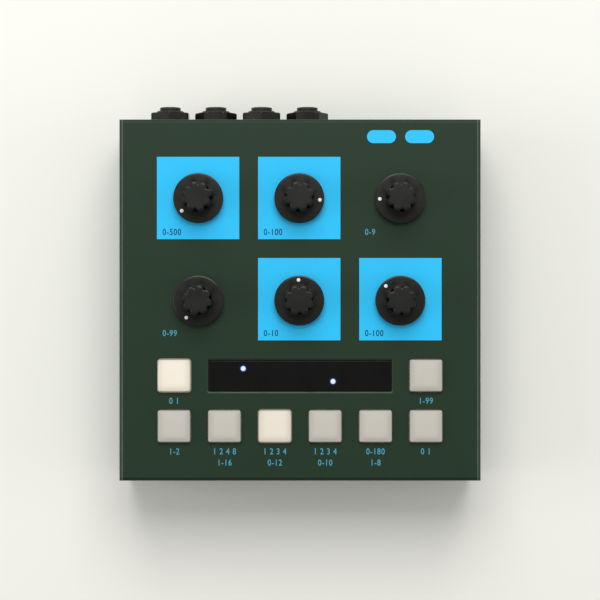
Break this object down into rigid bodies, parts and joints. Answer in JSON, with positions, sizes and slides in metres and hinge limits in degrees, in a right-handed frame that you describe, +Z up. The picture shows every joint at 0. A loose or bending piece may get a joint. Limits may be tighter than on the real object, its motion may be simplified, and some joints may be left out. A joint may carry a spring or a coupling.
{
  "type": "delay processor",
  "caption": "Square desktop audio delay processor with turning knobs, lit push buttons, a display window and rear jack sockets.",
  "frame": {"origin": "middle of the footprint, jack bushes included, on the surface that the feet stand on", "axes": "+X to the right seen from the front, +Y to the rear where the sockets are, +Z up out of the panel"},
  "size_m": [0.1452, 0.152, 0.0628],
  "materials": {
    "case_paint": "matte",
    "plate_paint": "matte",
    "foot_rubber": "matte",
    "screw_steel": "satin",
    "board_laminate": "satin",
    "link_plastic": "matte",
    "window_plastic": "gloss",
    "spacer_plastic": "matte",
    "knob_plastic": "matte",
    "shaft_metal": "satin",
    "pot_steel": "satin",
    "cap_plastic": "satin",
    "lit_cap_plastic": "satin",
    "switch_plastic": "matte",
    "jack_plastic": "satin",
    "nut_plastic": "satin",
    "socket_plastic": "satin"
  },
  "bodies": {
    "case": {"top_cover": "case_paint", "bottom_plate": "plate_paint", "foot_front_left": "foot_rubber", "foot_front_right": "foot_rubber", "foot_rear_left": "foot_rubber", "foot_rear_right": "foot_rubber", "case_screw_front_left": "screw_steel", "case_screw_front_right": "screw_steel", "case_screw_rear_left": "screw_steel", "case_screw_rear_right": "screw_steel", "main_board": "board_laminate", "control_board": "board_laminate", "board_link": "link_plastic", "display_window": "window_plastic", "light_spacer": "spacer_plastic", "time_pot": "pot_steel", "feedback_pot": "pot_steel", "mix_pot": "pot_steel", "value_pot": "pot_steel", "rate_pot": "pot_steel", "depth_pot": "pot_steel", "bypass_switch": "switch_plastic", "memory_switch": "switch_plastic", "tap_switch": "switch_plastic", "division_switch": "switch_plastic", "effect_switch": "switch_plastic", "filter_switch": "switch_plastic", "offset_switch": "switch_plastic", "hold_switch": "switch_plastic", "jack_1": "jack_plastic", "jack_nut_1": "nut_plastic", "jack_2": "jack_plastic", "jack_nut_2": "nut_plastic", "jack_3": "jack_plastic", "jack_nut_3": "nut_plastic", "jack_4": "jack_plastic", "jack_nut_4": "nut_plastic", "control_socket_1": "socket_plastic", "control_socket_2": "socket_plastic", "power_inlet": "socket_plastic"},
    "time_control": {"time_knob": "knob_plastic", "time_shaft": "shaft_metal"},
    "feedback_control": {"feedback_knob": "knob_plastic", "feedback_shaft": "shaft_metal"},
    "mix_control": {"mix_knob": "knob_plastic", "mix_shaft": "shaft_metal"},
    "value_control": {"value_knob": "knob_plastic", "value_shaft": "shaft_metal"},
    "rate_control": {"rate_knob": "knob_plastic", "rate_shaft": "shaft_metal"},
    "depth_control": {"depth_knob": "knob_plastic", "depth_shaft": "shaft_metal"},
    "bypass_key": {"bypass_button": "lit_cap_plastic"},
    "memory_key": {"memory_button": "cap_plastic"},
    "tap_key": {"tap_button": "cap_plastic"},
    "division_key": {"division_button": "cap_plastic"},
    "effect_key": {"effect_button": "lit_cap_plastic"},
    "filter_key": {"filter_button": "cap_plastic"},
    "offset_key": {"offset_button": "cap_plastic"},
    "hold_key": {"hold_button": "cap_plastic"}
  },
  "joints": [
    {"name": "time_turn", "type": "hinge", "parent": "case", "child": "time_control", "pos_m": [-0.04075, 0.03724, 0.0478], "axis": [0, 0, -1], "range_deg": [-22, 278]},
    {"name": "feedback_turn", "type": "hinge", "parent": "case", "child": "feedback_control", "pos_m": [-0.0003, 0.03724, 0.0478], "axis": [0, 0, -1], "range_deg": [-243.7, 56.3]},
    {"name": "mix_turn", "type": "hinge", "parent": "case", "child": "mix_control", "pos_m": [0.04015, 0.03724, 0.0478], "axis": [0, 0, -1], "range_deg": [-59.4, 240.6]},
    {"name": "value_turn", "type": "hinge", "parent": "case", "child": "value_control", "pos_m": [-0.04075, -0.00375, 0.0478], "axis": [0, 0, -1], "range_deg": [-6, 294]},
    {"name": "rate_turn", "type": "hinge", "parent": "case", "child": "rate_control", "pos_m": [-0.0003, -0.00375, 0.0478], "axis": [0, 0, -1], "range_deg": [-147, 153]},
    {"name": "depth_turn", "type": "hinge", "parent": "case", "child": "depth_control", "pos_m": [0.04015, -0.00375, 0.0478], "axis": [0, 0, -1], "range_deg": [-105.5, 194.5]},
    {"name": "bypass_press", "type": "slide", "parent": "case", "child": "bypass_key", "axis": [0, 0, -1], "range_m": [0, 0.0008], "stiffness_N_per_m": 1200, "springref_m": -0.0008},
    {"name": "memory_press", "type": "slide", "parent": "case", "child": "memory_key", "axis": [0, 0, -1], "range_m": [0, 0.0008], "stiffness_N_per_m": 1200, "springref_m": -0.0008},
    {"name": "tap_press", "type": "slide", "parent": "case", "child": "tap_key", "axis": [0, 0, -1], "range_m": [0, 0.0008], "stiffness_N_per_m": 1200, "springref_m": -0.0008},
    {"name": "division_press", "type": "slide", "parent": "case", "child": "division_key", "axis": [0, 0, -1], "range_m": [0, 0.0008], "stiffness_N_per_m": 1200, "springref_m": -0.0008},
    {"name": "effect_press", "type": "slide", "parent": "case", "child": "effect_key", "axis": [0, 0, -1], "range_m": [0, 0.0008], "stiffness_N_per_m": 1200, "springref_m": -0.0008},
    {"name": "filter_press", "type": "slide", "parent": "case", "child": "filter_key", "axis": [0, 0, -1], "range_m": [0, 0.0008], "stiffness_N_per_m": 1200, "springref_m": -0.0008},
    {"name": "offset_press", "type": "slide", "parent": "case", "child": "offset_key", "axis": [0, 0, -1], "range_m": [0, 0.0008], "stiffness_N_per_m": 1200, "springref_m": -0.0008},
    {"name": "hold_press", "type": "slide", "parent": "case", "child": "hold_key", "axis": [0, 0, -1], "range_m": [0, 0.0008], "stiffness_N_per_m": 1200, "springref_m": -0.0008}
  ]
}
